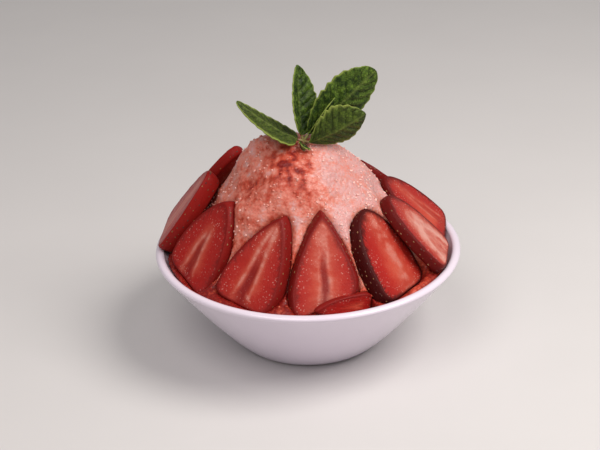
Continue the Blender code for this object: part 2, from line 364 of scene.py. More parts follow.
def bowl_rings(bowl):
    """The bowl's rings, (radius, height), from under the foot, up the outer side, over and down."""
    foot_rounding, ring_width, recess, floor = 1.2 * MM, 3 * MM, 1 * MM, 4 * MM
    foot = bowl.foot_radius - foot_rounding / 2
    ring_inside = foot - ring_width
    rings = [(4 * MM, recess), (ring_inside - 3 * recess, recess)]
    for turn in spread(0, math.pi / 2, 5):
        rings.append((ring_inside - recess * (1 - math.sin(turn)), recess * math.cos(turn)))
    rings.append((foot, 0))
    rim_height = BOWL_HEIGHT - bowl.wall / 2
    rings += [(wall_outside(bowl, z), z) for z in spread(foot_rounding, rim_height, 26)]
    inner, outer = wall_inside(bowl, rim_height), wall_outside(bowl, rim_height)
    middle, reach = (inner + outer) / 2, (outer - inner) / 2
    for turn in spread(0, math.pi, 13)[1:-1]:
        rings.append(
            (middle + reach * math.cos(turn), rim_height + bowl.wall / 2 * math.sin(turn))
        )
    rings += [(wall_inside(bowl, z), z) for z in spread(rim_height, floor, 18)]
    rings.append((4 * MM, floor))
    return rings


def draw_rings(name, rings, sides):
    """Extrudes a circle through the rings, one by one, and closes both ends."""
    start_fresh()
    radius, height = rings[0]
    bpy.ops.mesh.primitive_circle_add(vertices=sides, radius=radius, location=(0, 0, height))
    obj = name_piece(name)
    bpy.ops.object.mode_set(mode="EDIT")
    bpy.ops.mesh.select_all(action="SELECT")
    for next_radius, next_height in rings[1:]:
        bpy.ops.mesh.extrude_region_move()
        bpy.ops.transform.translate(value=(0, 0, next_height - height))
        widen = next_radius / radius
        bpy.ops.transform.resize(value=(widen, widen, 1))
        radius, height = next_radius, next_height
    bpy.ops.mesh.select_all(action="SELECT")
    bpy.ops.mesh.fill_holes(sides=0)
    bpy.ops.mesh.normals_make_consistent(inside=False)
    bpy.ops.object.mode_set(mode="OBJECT")
    apply_place(obj)
    shade_smooth(obj, 50)
    return obj


def glazed_porcelain(bowl):
    # Porcelain, slip cast and dipped in clear glaze: a cool white with a wet-looking, faintly wavy
    # skin, and a bare matt ring where the foot was wiped before firing.
    material, tree, shader = new_material("glazed_porcelain")
    place = add_node(tree, "ShaderNodeTexCoord").outputs["Object"]
    height = add_node(tree, "ShaderNodeSeparateXYZ", None, {0: place}).outputs["Z"]
    foot = add_node(
        tree, "ShaderNodeMapRange",
        {"From Min": 0.25 * MM, "From Max": 0.6 * MM, "To Min": 1.0, "To Max": 0.0}, {0: height},
    ).outputs[0]
    cloud = add_node(
        tree, "ShaderNodeTexNoise", {"Scale": 1 / (30 * MM), "Detail": 2.0}, {"Vector": place}
    ).outputs["Fac"]
    tint = set_ramp(
        add_node(tree, "ShaderNodeValToRGB", None, {0: cloud}),
        ((0.3, tuple(c * 0.965 for c in bowl.glaze[:3]) + (1,)), (0.7, tuple(bowl.glaze))),
    )
    colour = add_node(
        tree, "ShaderNodeMix", {"data_type": "RGBA", MIX_B: bowl.biscuit}, {0: foot, MIX_A: tint}
    ).outputs[MIX_RESULT]
    tree.links.new(colour, shader.inputs["Base Color"])
    rough = add_node(
        tree, "ShaderNodeMapRange", {"To Min": 0.24, "To Max": 0.8}, {0: foot}
    ).outputs[0]
    tree.links.new(rough, shader.inputs["Roughness"])
    wave = add_node(
        tree, "ShaderNodeTexNoise", {"Scale": 1 / (7 * MM), "Detail": 1.0}, {"Vector": place}
    ).outputs["Fac"]
    bump = add_node(
        tree, "ShaderNodeBump", {"Strength": 0.25, "Distance": 0.1 * MM}, {"Height": wave}
    ).outputs[0]
    tree.links.new(bump, shader.inputs["Normal"])
    shader.inputs["IOR"].default_value = 1.5
    shader.inputs["Coat Weight"].default_value = 0.3
    shader.inputs["Coat Roughness"].default_value = 0.12
    return material


class DESSERT_OT_bowl(bpy.types.Operator):
    """Model the porcelain bowl"""

    bl_idname = "dessert.bowl"
    bl_label = "Bowl"

    def execute(self, context):
        bowl = context.scene.dessert_bowl
        piece = draw_rings("porcelain_bowl", bowl_rings(bowl), bowl.sides)
        finish_piece(piece, glazed_porcelain(bowl), "white_glazed_porcelain", "bowl")
        return {"FINISHED"}


# ---- Strawberry slices ----


class BerrySettings(bpy.types.PropertyGroup):
    outline_points: IntProperty(
        name="Outline points", description="Points round a slice", default=112, min=24
    )
    face_rings: IntProperty(
        name="Face rings", description="Rings from a slice's edge to its middle", default=26, min=4
    )
    rounding: FloatProperty(
        name="Rounding", description="How far a slice's edges are worn", default=0.5 * MM,
        unit="LENGTH",
    )
    seed_spacing: FloatProperty(
        name="Seed spacing", description="Distance between seeds", default=3.1 * MM, unit="LENGTH"
    )
    skin: FloatVectorProperty(
        name="Skin", description="Colour of the skin", subtype="COLOR", size=4,
        default=linear("#8f1c18"),
    )
    ripe_skin: FloatVectorProperty(
        name="Ripe skin", description="Colour of the darkest skin", subtype="COLOR", size=4,
        default=linear("#330b0b"),
    )
    flesh_outer: FloatVectorProperty(
        name="Outer flesh", description="Colour of the flesh under the skin", subtype="COLOR",
        size=4, default=linear("#a41b15"),
    )
    flesh_inner: FloatVectorProperty(
        name="Inner flesh", description="Colour of the flesh near the core", subtype="COLOR",
        size=4, default=linear("#bf4936"),
    )
    strand: FloatVectorProperty(
        name="Strands", description="Colour of the pale strands", subtype="COLOR", size=4,
        default=linear("#d09488"),
    )
    haze: FloatVectorProperty(
        name="Haze", description="Colour of the pale flesh round the strands", subtype="COLOR",
        size=4, default=linear("#b9523f"),
    )
    heart: FloatVectorProperty(
        name="Heart", description="Colour of the flesh inside the core", subtype="COLOR", size=4,
        default=linear("#7e120f"),
    )
    seed: FloatVectorProperty(
        name="Seeds", description="Colour of the seeds", subtype="COLOR", size=4,
        default=linear("#835732"),
    )


def berry_half_width(share, point):
    """Half a berry's width, as a share of its greatest, at this share of the length from the cap."""
    if share < WIDEST:
        return (1 - (1 - share / WIDEST) ** CAP_BLUNT) ** (1 / CAP_BLUNT)
    along = (share - WIDEST) / (1 - WIDEST)
    return (1 - along ** (2 - 0.7 * point)) ** (0.5 + 0.3 * point)


def slice_point(slice_, turn, depth, ring=1.0, inset=0.0):
    """A point of the berry at this depth, in the slice's own axes.

    turn is an angle round the outline from the cap end, ring is 0 in the middle and 1 at the skin,
    and inset draws the outline in.
    """
    half, length = slice_.width * MM / 2, slice_.length * MM
    share = min(max((1 - math.cos(turn)) / 2, 0), 1)
    reach = Vector((half * berry_half_width(share, slice_.point), 0, (share - WIDEST) * length))
    reach.x = math.copysign(reach.x, math.sin(turn))
    reach.z += reach.x * math.tan(math.radians(slice_.cut)) * (1 - share) ** 2
    reach *= math.sqrt(max(0.02, 1 - (depth / half) ** 2))
    reach -= reach.normalized() * inset
    reach *= ring
    return Vector((reach.x, -depth, reach.z + WIDEST * length))


def slice_place(slice_):
    """From the slice's own axes (X width, -Y outwards, Z from cap to tip) to the dessert's."""
    base = Vector((0, -slice_.radius * MM, slice_.height * MM))
    return (
        Matrix.Rotation(math.radians(slice_.azimuth), 4, "Z")
        @ Matrix.Translation(base)
        @ Matrix.Rotation(math.radians(slice_.slope - 90), 4, "X")
        @ Matrix.Rotation(math.radians(slice_.lean), 4, "Y")
        @ Matrix.Rotation(math.radians(slice_.twist), 4, "Z")
    )


def slab_blank(berries):
    """A round slab of unit size, ringed on both ends and down its side, to be moulded to slices."""
    start_fresh()
    bpy.ops.mesh.primitive_cylinder_add(
        vertices=berries.outline_points, radius=1, depth=1, end_fill_type="NGON"
    )
    obj = name_piece("slab_blank")
    bpy.ops.object.mode_set(mode="EDIT")
    bpy.ops.mesh.select_mode(type="FACE")
    for side, rings in ((1, berries.face_rings), (-1, 6)):
        select_faces(obj, lambda face, side=side: face.normal.z * side > 0.5)
        for _ in range(rings - 1):
            bpy.ops.mesh.inset(thickness=1 / rings, use_even_offset=False)
        bpy.ops.mesh.poke()
    bpy.ops.mesh.select_all(action="SELECT")
    for level in (-0.47, -0.4, -0.25, -0.1, 0.05, 0.2, 0.33, 0.42, 0.47):
        bpy.ops.mesh.bisect(plane_co=(0, 0, level), plane_no=(0, 0, 1))
        bpy.ops.mesh.select_all(action="SELECT")
    bpy.ops.object.mode_set(mode="OBJECT")
    return obj


def smooth_step(value, low, high):
    share = min(max((value - low) / (high - low), 0), 1)
    return share * share * (3 - 2 * share)


def core_at(core, across, along, seed):
    """How pale the cut face is and how dark its heart is at this place."""
    wobble = 0.04 * noise.noise(Vector((along * 5, seed, 0.5)))
    if core.loop:
        far = math.hypot((across - core.shift) / core.width, along / core.top) + 2 * wobble
        strand = math.exp(-(((far - 1) / 0.13) ** 2))
        around = core.haze * math.exp(-(((far - 1.1) / 0.5) ** 2))
        inside = 0.5 * (1 - smooth_step(far, 0.85, 1.0))
        return core.pale * max(strand, around, inside), 0
    share = min(max(along / core.top, 0), 1)
    half = core.width * (1 - share) ** 0.8
    off = abs(across - core.shift * (1 - 0.5 * share) + wobble)
    strand = math.exp(-(((off - half) / (0.06 + 0.1 * share)) ** 2))
    fade = smooth_step(along, 0.0, 0.12) * (1 - smooth_step(along, core.top * 0.8, core.top + 0.08))
    haze = math.exp(-((off / (0.43 - 0.15 * along)) ** 2)) * (1 - smooth_step(along, 0.8, 1.0))
    inside = 1 - smooth_step(off, half * 0.3, half * 0.8 + 0.03)
    heart = core.heart * inside * (1 - smooth_step(along, 0.35, 0.65))
    return max(core.pale * strand * fade, 0.6 * core.haze * haze), heart


def mould_slice(slice_, blank, berries, index):
    """A copy of the blank, moulded to the slice and placed."""
    obj = bpy.data.objects.new("berry_" + slice_.name, blank.data.copy())
    bpy.context.scene.collection.objects.link(obj)
    core = CORES[slice_.name]
    half, length = slice_.width * MM / 2, slice_.length * MM
    placed, rings, pales, hearts, painted_glint_shares, fans = [], [], [], [], [], []
    into_place = slice_place(slice_)
    for vertex in obj.data.vertices:
        x, y, z = vertex.co
        turn, ring = math.atan2(y, x) % (2 * math.pi), min(math.hypot(x, y), 1)
        depth = (slice_.back + (slice_.front - slice_.back) * (z + 0.5)) * MM
        worn = berries.rounding * (2 * abs(z)) ** 8
        point = slice_point(slice_, turn, depth, ring, worn)
        across, along = point.x / half, point.z / length
        pale, heart = core_at(core, across, along, index * 7.3)
        if z > 0.49:
            point.y += 0.25 * MM * (pale * 0.8 - heart) * (1 - ring**4) * -1
            point.y += 0.12 * MM * noise.noise(Vector((across * 6, along * 9, index * 3.1)))
        else:
            swell = noise.noise(Vector((math.cos(turn) * 4, math.sin(turn) * 4, index + z * 2)))
            point *= 1 + 0.004 * swell * (ring > 0.99) * (abs(z) < 0.46)
        placed.append(into_place @ point)
        rings.append(ring)
        pales.append(pale if z > 0 else pale * 0.7)
        hearts.append(heart)
        # Painted highlights: how thickly pale glints are painted into the cut face's colour, more towards
        # the edge and, on some slices, towards the tip.
        edge = 0.7 * smooth_step(ring, 0.35, 0.75)
        painted_glint_shares.append(max(0.1, edge, core.wet * smooth_step(along, 0.4, 0.75)))
        fans.append((math.sin(turn), math.cos(turn) + index, ring))
    put_places(obj.data, placed)
    write_attribute(obj.data, "ring", rings)
    write_attribute(obj.data, "pale", pales)
    write_attribute(obj.data, "heart", hearts)
    write_attribute(obj.data, "wet", painted_glint_shares)
    write_attribute(obj.data, "ripe", [core.ripe] * len(placed))
    write_vectors(obj.data, "fan", fans)
    return obj


def strawberry_flesh(berries):
    # Fresh strawberry, cut with a knife: wet, slightly clear flesh with faint fibres that fan out from
    # a pale core, deepening towards the skin, which is dark and glossy.
    material, tree, shader = new_material("cut_strawberry")
    ring = add_node(tree, "ShaderNodeAttribute", {"attribute_name": "ring"}).outputs["Fac"]
    pale = add_node(tree, "ShaderNodeAttribute", {"attribute_name": "pale"}).outputs["Fac"]
    heart = add_node(tree, "ShaderNodeAttribute", {"attribute_name": "heart"}).outputs["Fac"]
    fan = add_node(tree, "ShaderNodeAttribute", {"attribute_name": "fan"}).outputs["Vector"]
    place = add_node(tree, "ShaderNodeTexCoord").outputs["Object"]
    stretched = add_node(
        tree, "ShaderNodeVectorMath", {"operation": "MULTIPLY", 1: (14, 14, 2.5)}, {0: fan}
    ).outputs[0]
    fibres = add_node(
        tree, "ShaderNodeTexNoise", {"Scale": 1.0, "Detail": 4.0, "Roughness": 0.65},
        {"Vector": stretched},
    ).outputs["Fac"]
    blotches = add_node(
        tree, "ShaderNodeTexNoise", {"Scale": 1 / (4 * MM), "Detail": 4.0, "Roughness": 0.6},
        {"Vector": place},
    ).outputs["Fac"]
    shifted = add_node(
        tree, "ShaderNodeMath", {"operation": "MULTIPLY_ADD", 1: 0.5, 2: -0.4}, {0: fibres}
    ).outputs[0]
    shifted = add_node(
        tree, "ShaderNodeMath", {"operation": "MULTIPLY_ADD", 1: 0.34}, {0: blotches, 2: shifted}
    ).outputs[0]
    cut_face = add_node(
        tree, "ShaderNodeMapRange", {"From Min": 0.9, "From Max": 0.99, "To Min": 1.0, "To Max": 0.0},
        {0: ring},
    ).outputs[0]
    shifted = add_node(
        tree, "ShaderNodeMath", {"operation": "MULTIPLY"}, {0: shifted, 1: cut_face}
    ).outputs[0]
    depth = add_node(
        tree, "ShaderNodeMath", {"operation": "SUBTRACT", "use_clamp": True}, {0: ring, 1: shifted}
    ).outputs[0]
    deep = tuple(a * 0.5 + b * 0.5 for a, b in zip(berries.flesh_outer, berries.skin))
    flesh = set_ramp(
        add_node(tree, "ShaderNodeValToRGB", None, {0: depth}),
        (
            (0.05, tuple(berries.flesh_inner)),
            (0.5, tuple(berries.flesh_outer)),
            (0.85, deep),
            (0.94, tuple(berries.skin)),
        ),
    )
    ripe = add_node(tree, "ShaderNodeAttribute", {"attribute_name": "ripe"}).outputs["Fac"]
    skinned = add_node(
        tree, "ShaderNodeMapRange", {"From Min": 0.84, "From Max": 0.97}, {0: depth}
    ).outputs[0]
    darkened = add_node(
        tree, "ShaderNodeMath", {"operation": "MULTIPLY"}, {0: skinned, 1: ripe}
    ).outputs[0]
    flesh = add_node(
        tree, "ShaderNodeMix", {"data_type": "RGBA", MIX_B: berries.ripe_skin},
        {0: darkened, MIX_A: flesh},
    ).outputs[MIX_RESULT]
    combed = add_node(
        tree, "ShaderNodeMapRange", {"From Min": 0.3, "From Max": 0.62, "To Min": 0.6, "To Max": 1.15},
        {0: blotches},
    ).outputs[0]
    paleness = add_node(
        tree, "ShaderNodeMath", {"operation": "MULTIPLY", "use_clamp": True}, {0: pale, 1: combed}
    ).outputs[0]
    paleness = add_node(
        tree, "ShaderNodeMath", {"operation": "MULTIPLY", "use_clamp": True},
        {0: paleness, 1: cut_face},
    ).outputs[0]
    whitened = set_ramp(
        add_node(tree, "ShaderNodeValToRGB", None, {0: paleness}),
        ((0.3, tuple(berries.haze)), (0.85, tuple(berries.strand))),
    )
    covered = add_node(
        tree, "ShaderNodeMapRange", {"From Min": 0.0, "From Max": 0.55}, {0: paleness}
    ).outputs[0]
    flesh = add_node(
        tree, "ShaderNodeMix", {"data_type": "RGBA"}, {0: covered, MIX_A: flesh, MIX_B: whitened}
    ).outputs[MIX_RESULT]
    flesh = add_node(
        tree, "ShaderNodeMix", {"data_type": "RGBA", MIX_B: berries.heart}, {0: heart, MIX_A: flesh}
    ).outputs[MIX_RESULT]
    # Painted highlights: small pale spots in the strands' colour, strewn over the cut face where the
    # blotches and the stored glint share allow.
    spots = add_node(
        tree, "ShaderNodeTexVoronoi", {"Scale": 1 / (1.1 * MM)}, {"Vector": place}
    ).outputs["Distance"]
    glints = add_node(
        tree, "ShaderNodeMapRange", {"From Min": 0.14, "From Max": 0.3, "To Min": 1.0, "To Max": 0.0},
        {0: spots},
    ).outputs[0]
    painted_glint_patches = add_node(
        tree, "ShaderNodeMapRange", {"From Min": 0.42, "From Max": 0.56}, {0: blotches}
    ).outputs[0]
    painted_glint_share = add_node(tree, "ShaderNodeAttribute", {"attribute_name": "wet"}).outputs["Fac"]
    painted_glint_patches = add_node(tree, "ShaderNodeMath", {"operation": "MULTIPLY"}, {0: painted_glint_patches, 1: painted_glint_share}).outputs[0]
    glints = add_node(tree, "ShaderNodeMath", {"operation": "MULTIPLY"}, {0: glints, 1: painted_glint_patches}).outputs[0]
    glints = add_node(
        tree, "ShaderNodeMath", {"operation": "MULTIPLY"}, {0: glints, 1: cut_face}
    ).outputs[0]
    flesh = add_node(
        tree, "ShaderNodeMix", {"data_type": "RGBA", MIX_B: berries.strand}, {0: glints, MIX_A: flesh}
    ).outputs[MIX_RESULT]
    tree.links.new(flesh, shader.inputs["Base Color"])
    cells = add_node(
        tree, "ShaderNodeTexVoronoi", {"Scale": 1 / (0.7 * MM)}, {"Vector": place}
    ).outputs["Distance"]
    relief = add_node(
        tree, "ShaderNodeMath", {"operation": "MULTIPLY_ADD", 1: 0.5}, {0: cells, 2: blotches}
    ).outputs[0]
    bump = add_node(
        tree, "ShaderNodeBump", {"Strength": 0.45, "Distance": 0.3 * MM}, {"Height": relief}
    ).outputs[0]
    tree.links.new(bump, shader.inputs["Normal"])
    wet = add_node(
        tree, "ShaderNodeMapRange", {"From Min": 0.3, "From Max": 0.7, "To Min": 0.32, "To Max": 0.55},
        {0: blotches},
    ).outputs[0]
    tree.links.new(wet, shader.inputs["Roughness"])
    film = add_node(
        tree, "ShaderNodeMapRange", {"To Min": 0.03, "To Max": 0.12}, {0: cut_face}
    ).outputs[0]
    tree.links.new(film, shader.inputs["Coat Weight"])
    shine = add_node(
        tree, "ShaderNodeMapRange", {"To Min": 0.15, "To Max": 0.3}, {0: cut_face}
    ).outputs[0]
    tree.links.new(shine, shader.inputs["Specular IOR Level"])
    shader.inputs["Coat Roughness"].default_value = 0.18
    shader.inputs["IOR"].default_value = 1.36
    shader.inputs["Subsurface Weight"].default_value = 0.1
    shader.inputs["Subsurface Radius"].default_value = (1.0, 0.25, 0.15)
    shader.inputs["Subsurface Scale"].default_value = 1 * MM
    return material


class DESSERT_OT_slices(bpy.types.Operator):
    """Model the ring of strawberry slices"""

    bl_idname = "dessert.slices"
    bl_label = "Strawberry slices"

    def execute(self, context):
        berries = context.scene.dessert_berries
        blank = slab_blank(berries)
        made = {
            slice_.name: mould_slice(slice_, blank, berries, index)
            for index, slice_ in enumerate(SLICES)
        }
        bpy.data.objects.remove(blank)
        for name, neighbours in TRIMMED.items():
            for neighbour in neighbours:
                apply_modifier(
                    made[name], "BOOLEAN", operation="DIFFERENCE", object=made[neighbour]
                )
        material = strawberry_flesh(berries)
        for name, piece in made.items():
            shade_smooth(piece, 60)
            finish_piece(piece, material, "strawberry", "strawberry_" + name)
        return {"FINISHED"}


def seed_places(slice_, spacing, draw):
    """Where the seeds sit on a slice's band of skin: matrices with Z standing out of the skin."""
    places = []
    into_place = slice_place(slice_)
    thickness = (slice_.front - slice_.back) * MM
    rows = max(1, round(thickness / (0.75 * spacing)))
    outline = 2.2 * (slice_.length + slice_.width) * MM
    around = round(outline / spacing / 1.35)
    for row in range(rows):
        for step in range(around):
            turn = 2 * math.pi * (step + 0.5 * (row % 2) + draw.uniform(-0.35, 0.35)) / around
            share = (row + 0.5 + draw.uniform(-0.22, 0.22)) / rows
            depth = slice_.back * MM + thickness * share
            if not 0.35 < turn < 2 * math.pi - 0.35:
                continue
            point = slice_point(slice_, turn, depth)
            along = slice_point(slice_, turn + 0.02, depth) - slice_point(slice_, turn - 0.02, depth)
            usual = 0.04 * outline / (2 * math.pi)
            if draw.random() > 1.1 * along.length / usual:
                continue
            along *= 1 if turn < math.pi else -1
            inwards = slice_point(slice_, turn, depth + 0.1 * MM)
            inwards -= slice_point(slice_, turn, depth - 0.1 * MM)
            out = along.cross(inwards).normalized()
            if out.dot(point - Vector((0, 0, WIDEST * slice_.length * MM))) < 0:
                out.negate()
            along.normalize()
            side = out.cross(along)
            turned = Matrix((side, along, out)).transposed().to_4x4()
            turned.translation = point - out * 0.12 * MM
            size = draw.uniform(0.75, 1.1)
            places.append(into_place @ turned @ Matrix.Scale(size, 4))
    return places


def seed_coat(berries):
    # Strawberry achenes: small dry oval fruits, straw yellow to brown with a dull sheen.
    material, tree, shader = new_material("strawberry_seed")
    place = add_node(tree, "ShaderNodeTexCoord").outputs["Object"]
    patch = add_node(
        tree, "ShaderNodeTexNoise", {"Scale": 1 / (2.5 * MM), "Detail": 1.0}, {"Vector": place}
    ).outputs["Fac"]
    colour = set_ramp(
        add_node(tree, "ShaderNodeValToRGB", None, {0: patch}),
        ((0.4, linear("#4d1811")), (0.6, tuple(berries.seed)), (0.85, linear("#a5824f"))),
    )
    tree.links.new(colour, shader.inputs["Base Color"])
    shader.inputs["Roughness"].default_value = 0.35
    return material


class DESSERT_OT_seeds(bpy.types.Operator):
    """Set the seeds into the skin of the slices"""

    bl_idname = "dessert.seeds"
    bl_label = "Strawberry seeds"

    def execute(self, context):
        berries = context.scene.dessert_berries
        start_fresh()
        bpy.ops.mesh.primitive_ico_sphere_add(subdivisions=2, radius=1)
        grain = name_piece("seed_grain")
        bpy.ops.transform.resize(value=(0.31 * MM, 0.52 * MM, 0.22 * MM))
        apply_place(grain)
        draw = random.Random(5)
        places = [
            place
            for slice_ in SLICES
            if slice_.name not in SEEDLESS
            for place in seed_places(slice_, berries.seed_spacing, draw)
        ]
        piece = joined_copies("strawberry_seeds", grain.data, places)
        bpy.data.objects.remove(grain)
        shade_smooth(piece)
        finish_piece(piece, seed_coat(berries), "strawberry")
        return {"FINISHED"}


# ---- Shaved ice ----


class IceSettings(bpy.types.PropertyGroup):
    voxel: FloatProperty(
        name="Fineness", description="Edge length of the mound's faces", default=0.7 * MM,
        unit="LENGTH",
    )
    clump: FloatProperty(
        name="Clumps", description="Size of the clumps of grains", default=6 * MM, unit="LENGTH"
    )
    grain: FloatProperty(
        name="Grains", description="Size of the grains", default=1.7 * MM, unit="LENGTH"
    )
    loose: IntProperty(name="Loose grains", description="Grains lying on top", default=600, min=0)
    pale: FloatVectorProperty(
        name="Pale ice", description="Colour of the ice with least syrup", subtype="COLOR", size=4,
        default=linear("#cc9a97"),
    )
    pink: FloatVectorProperty(
        name="Pink ice", description="Colour of most of the ice", subtype="COLOR", size=4,
        default=linear("#d17f6e"),
    )
    red: FloatVectorProperty(
        name="Red ice", description="Colour of ice with syrup", subtype="COLOR", size=4,
        default=linear("#b84a35"),
    )
    # Paler than the mound: partly ice with less syrup, partly painted light, a painted sparkle that also
    # offsets the grains' own shaded sides.
    frost_and_painted_sparkle: FloatVectorProperty(
        name="Loose ice", description="Colour of the palest loose grains", subtype="COLOR", size=4,
        default=linear("#eebfb7"),
    )
    # Ice soaked in juice at the rim, made darker still as painted shade in the gaps between the slices.
    juice: FloatVectorProperty(
        name="Juice", description="Colour of ice soaked in juice", subtype="COLOR", size=4,
        default=linear("#781310"),
    )


def copy_of_node(node, name):
    """A merged copy of a CAD node's mesh as a new object."""
    obj = bpy.data.objects.new(name, frame["nodes"][node].data.copy())
    bpy.context.scene.collection.objects.link(obj)
    work_on(obj)
    bpy.ops.object.mode_set(mode="EDIT")
    bpy.ops.mesh.select_all(action="SELECT")
    bpy.ops.mesh.remove_doubles(threshold=0.01 * MM)
    bpy.ops.object.mode_set(mode="OBJECT")
    return obj


def berry_tree():
    """A search tree of the slices' faces, and the slice that each face belongs to."""
    points, faces, owners = [], [], []
    for slice_ in SLICES:
        mesh = bpy.data.objects["berry_" + slice_.name].data
        first = len(points)
        points += [vertex.co.copy() for vertex in mesh.vertices]
        faces += [[v + first for v in face.vertices] for face in mesh.polygons]
        owners += [slice_] * len(mesh.polygons)
    return BVHTree.FromPolygons(points, faces), owners


def heap_ice(obj, ice):
    """Gives the mound its clumps and grains, packs it down beside the slices and stores its syrup mixed
    with painted shade.
    """
    tree, owners = berry_tree()
    frames = {slice_.name: slice_place(slice_) for slice_ in SLICES}
    into_slice = {name: place.inverted() for name, place in frames.items()}
    mesh = obj.data
    normals = [vertex.normal.copy() for vertex in mesh.vertices]
    syrup_and_shade_values, opens, placed = [], [], []
    packed_reach, packed_depth = 3.5 * MM, 1.5 * MM
    for vertex, normal in zip(mesh.vertices, normals):
        point = vertex.co.copy()
        above = min(max((point.z - ICE_EDGE_HEIGHT + 1.2 * MM) / (2 * MM), 0), 1)
        _, _, face, near = tree.find_nearest(point)
        slice_ = owners[face]
        start = point.copy()
        if above and near < packed_reach:
            local = into_slice[slice_.name] @ point
            room = -local.y - slice_.back * MM - 0.4 * MM
            if room > 0:
                press = min(packed_depth, room) * (1 - near / packed_reach) ** 1.5
                down = frames[slice_.name].to_3x3() @ Vector((0, 1, 0))
                point += down * press
        calm = min(max(near / (1.5 * MM), 0.6), 1) * above
        lump = noise.noise(start / ice.clump + Vector((3, 1, 4)))
        ridge = 1 - 2 * abs(noise.noise(start / (ice.clump * 0.55) + Vector((7, 2, 9))))
        cell = noise.voronoi(start / ice.grain, distance_metric="DISTANCE", exponent=1.0)[0]
        pit = cell[0]
        fine = noise.noise(start / (ice.grain * 0.5))
        lift = 0.5 * MM * lump + 0.15 * MM * (ridge - 0.3) + 0.24 * MM * (0.45 - pit)
        lift += 0.14 * MM * fine
        placed.append(point + normal * lift * calm)
        opens.append(calm if normal.z > -0.2 else 0)
        # Painted shade: the ice is made redder towards the left, the side turned from the key light; the
        # mottling is stronger there too.
        left = smooth_step(-start.x, -20 * MM, 16 * MM)
        syrup_and_shade = 0.12 + 0.2 * left
        syrup_and_shade += 0.2 * noise.noise(start / (12 * MM) + Vector((1, 8, 2))) * (1 - 0.5 * left)
        syrup_and_shade += 0.22 * noise.noise(start / (3.4 * MM) + Vector((5, 5, 2))) * (0.35 + left)
        syrup_and_shade += 0.2 * (pit - 0.45) - 0.08 * lump
        streak = noise.noise(Vector((start.x, start.y, start.z / 2)) / (2.4 * MM))
        # Syrup stains, and the painted shadow of the left mint leaf.
        for x, y, z, radius, strength in STAINS_AND_LEAF_SHADOW:
            far = (start - Vector((x, y, z)) * MM).length / (radius * MM)
            syrup_and_shade += strength * math.exp(-far * far) * (0.8 + 0.9 * streak)
        # Redder within a few millimetres of a slice.
        syrup_and_shade += 0.16 * (1 - smooth_step(near, 0, 3.5 * MM))
        # A dark band near the rim: juice-soaked ice, darkened further as painted shade in the gaps
        # between the slices.
        syrup_and_shade += 0.7 * (1 - smooth_step(start.z, ICE_EDGE_HEIGHT, ICE_EDGE_HEIGHT + 8 * MM))
        syrup_and_shade_values.append(min(max(syrup_and_shade, 0), 1))
    put_places(mesh, placed)
    write_attribute(mesh, "syrup_and_shade", syrup_and_shade_values)
    return np.array(opens)


def syruped_ice(ice, name, palest, bleed):
    # Ice shaved into coarse grains and soaked in strawberry syrup: soft, half clear and mottled from
    # near white to red, with a wet glint on the grains.
    material, tree, shader = new_material(name)
    syrup_and_shade = add_node(tree, "ShaderNodeAttribute", {"attribute_name": "syrup_and_shade"}).outputs["Fac"]
    place = add_node(tree, "ShaderNodeTexCoord").outputs["Object"]
    speckle = add_node(
        tree, "ShaderNodeTexNoise", {"Scale": 1 / (1.3 * MM), "Detail": 2.0}, {"Vector": place}
    ).outputs["Fac"]
    soak_and_shade = add_node(
        tree, "ShaderNodeMath", {"operation": "MULTIPLY_ADD", 1: 0.6, 2: -0.3}, {0: speckle}
    ).outputs[0]
    soak_and_shade = add_node(
        tree, "ShaderNodeMath", {"operation": "ADD", "use_clamp": True}, {0: soak_and_shade, 1: syrup_and_shade}
    ).outputs[0]
    # The share read here is syrup with painted shade mixed in: redder on the left, a painted shadow under
    # the mint and a dark band at the rim.
    colour = set_ramp(
        add_node(tree, "ShaderNodeValToRGB", None, {0: soak_and_shade}),
        (
            (0.08, tuple(palest)),
            (0.36, tuple(ice.pink)),
            (0.68, tuple(ice.red)),
            (1.0, tuple(ice.juice)),
        ),
    )
    tree.links.new(colour, shader.inputs["Base Color"])
    crystals = add_node(
        tree, "ShaderNodeTexVoronoi", {"Scale": 1 / (1.2 * MM)}, {"Vector": place}
    ).outputs["Distance"]
    relief = add_node(
        tree, "ShaderNodeMath", {"operation": "ADD"}, {0: crystals, 1: speckle}
    ).outputs[0]
    bump = add_node(
        tree, "ShaderNodeBump", {"Strength": 0.8, "Distance": 0.07 * bleed}, {"Height": relief}
    ).outputs[0]
    tree.links.new(bump, shader.inputs["Normal"])
    rough = add_node(
        tree, "ShaderNodeMapRange", {"From Min": 0.3, "From Max": 0.7, "To Min": 0.2, "To Max": 0.55},
        {0: speckle},
    ).outputs[0]
    tree.links.new(rough, shader.inputs["Roughness"])
    shader.inputs["IOR"].default_value = 1.31
    shader.inputs["Subsurface Weight"].default_value = 0.6
    shader.inputs["Subsurface Radius"].default_value = (1.0, 0.45, 0.4)
    shader.inputs["Subsurface Scale"].default_value = bleed
    shader.inputs["Coat Weight"].default_value = 0.08
    shader.inputs["Coat Roughness"].default_value = 0.1
    return material


def loose_grains(mound, ice, opens, draw):
    """Places for grains lying on the open ice, with the syrup and painted shade of the spot that each
    lies on.
    """
    mesh = mound.data
    places = places_of(mesh)
    syrup_and_shade_values = np.zeros(len(places))
    mesh.attributes["syrup_and_shade"].data.foreach_get("value", syrup_and_shade_values)
    weights = opens**3 * (places[:, 2] > ICE_EDGE_HEIGHT + 2 * MM)
    chosen = draw.choice(len(places), size=ice.loose, replace=False, p=weights / weights.sum())
    matrices = []
    for index in chosen:
        vertex = mesh.vertices[index]
        size = draw.uniform(0.3, 0.5) * MM
        turn = Matrix.Rotation(draw.uniform(0, 2 * math.pi), 4, Vector(draw.normal(size=3)))
        flat = Matrix.Diagonal((size * draw.uniform(1, 1.7), size, size * draw.uniform(0.6, 1), 1))
        spot = vertex.co + vertex.normal * size * 0.1
        matrices.append(Matrix.Translation(spot) @ turn @ flat)
    return matrices, syrup_and_shade_values[chosen]


